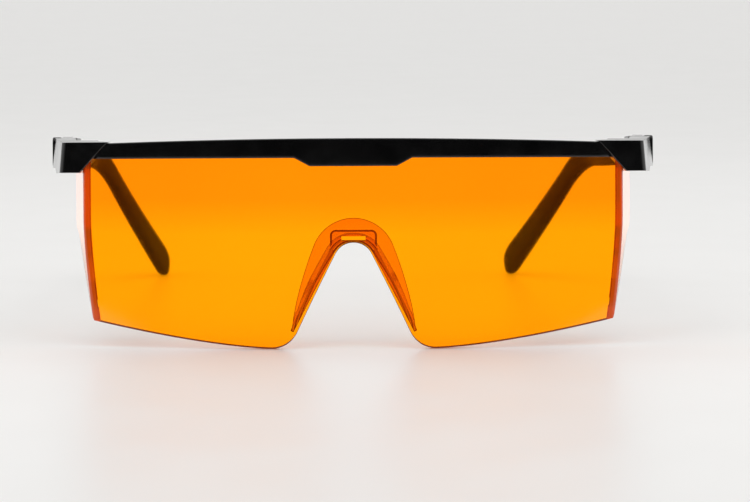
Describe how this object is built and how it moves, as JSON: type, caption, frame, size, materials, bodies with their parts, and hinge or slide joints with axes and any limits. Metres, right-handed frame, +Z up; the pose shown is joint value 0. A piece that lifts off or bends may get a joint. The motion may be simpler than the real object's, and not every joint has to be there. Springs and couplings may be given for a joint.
{
  "type": "safety glasses",
  "caption": "Safety glasses with a one-piece orange wrap-round lens under a black brow bar, and black temples that fold, tilt and lengthen.",
  "frame": {"origin": "middle of the footprint, on the surface that the lower edge of the lens and the temple tips stand on", "axes": "+Z up, -Y the way the wearer looks, +X to the right seen from the front (the wearer's left)"},
  "size_m": [0.159, 0.1518, 0.0539],
  "materials": {
    "black_nylon": "glossy black moulded nylon",
    "temple_nylon": "satin black moulded nylon",
    "orange_lens": "clear orange polycarbonate, polished",
    "orange_bridge": "clear orange polycarbonate, polished",
    "screw_steel": "plain steel"
  },
  "bodies": {
    "front": {"brow_bar": "black_nylon", "lens": "orange_lens", "nose_bridge": "orange_bridge", "left_end_block": "black_nylon", "left_tilt_screw": "screw_steel", "left_tilt_nut": "screw_steel", "right_end_block": "black_nylon", "right_tilt_screw": "screw_steel", "right_tilt_nut": "screw_steel"},
    "left_link": {"left_tilt_link": "black_nylon", "left_hinge_screw": "screw_steel"},
    "left_sleeve": {"left_temple_sleeve": "temple_nylon"},
    "left_arm": {"left_temple_arm": "temple_nylon"},
    "right_link": {"right_tilt_link": "black_nylon", "right_hinge_screw": "screw_steel"},
    "right_sleeve": {"right_temple_sleeve": "temple_nylon"},
    "right_arm": {"right_temple_arm": "temple_nylon"}
  },
  "joints": [
    {"name": "left_tilt", "type": "hinge", "parent": "front", "child": "left_link", "pos_m": [-0.0795, -0.04533, 0.04829], "axis": [1, 0, 0], "range_deg": [-10, 10]},
    {"name": "left_fold", "type": "hinge", "parent": "left_link", "child": "left_sleeve", "pos_m": [-0.0765, -0.03518, 0.04731], "axis": [0, -0.096, -0.9954], "range_deg": [0, 88]},
    {"name": "left_length", "type": "slide", "parent": "left_sleeve", "child": "left_arm", "axis": [-0.0087, 0.9953, -0.096], "range_m": [0, 0.01]},
    {"name": "right_tilt", "type": "hinge", "parent": "front", "child": "right_link", "pos_m": [0.0795, -0.04533, 0.04829], "axis": [1, 0, 0], "range_deg": [-10, 10]},
    {"name": "right_fold", "type": "hinge", "parent": "right_link", "child": "right_sleeve", "pos_m": [0.0765, -0.03518, 0.04731], "axis": [0, 0.096, 0.9954], "range_deg": [-5.5, 78]},
    {"name": "right_length", "type": "slide", "parent": "right_sleeve", "child": "right_arm", "axis": [-0.0872, 0.9916, -0.0957], "range_m": [0, 0.01]}
  ]
}
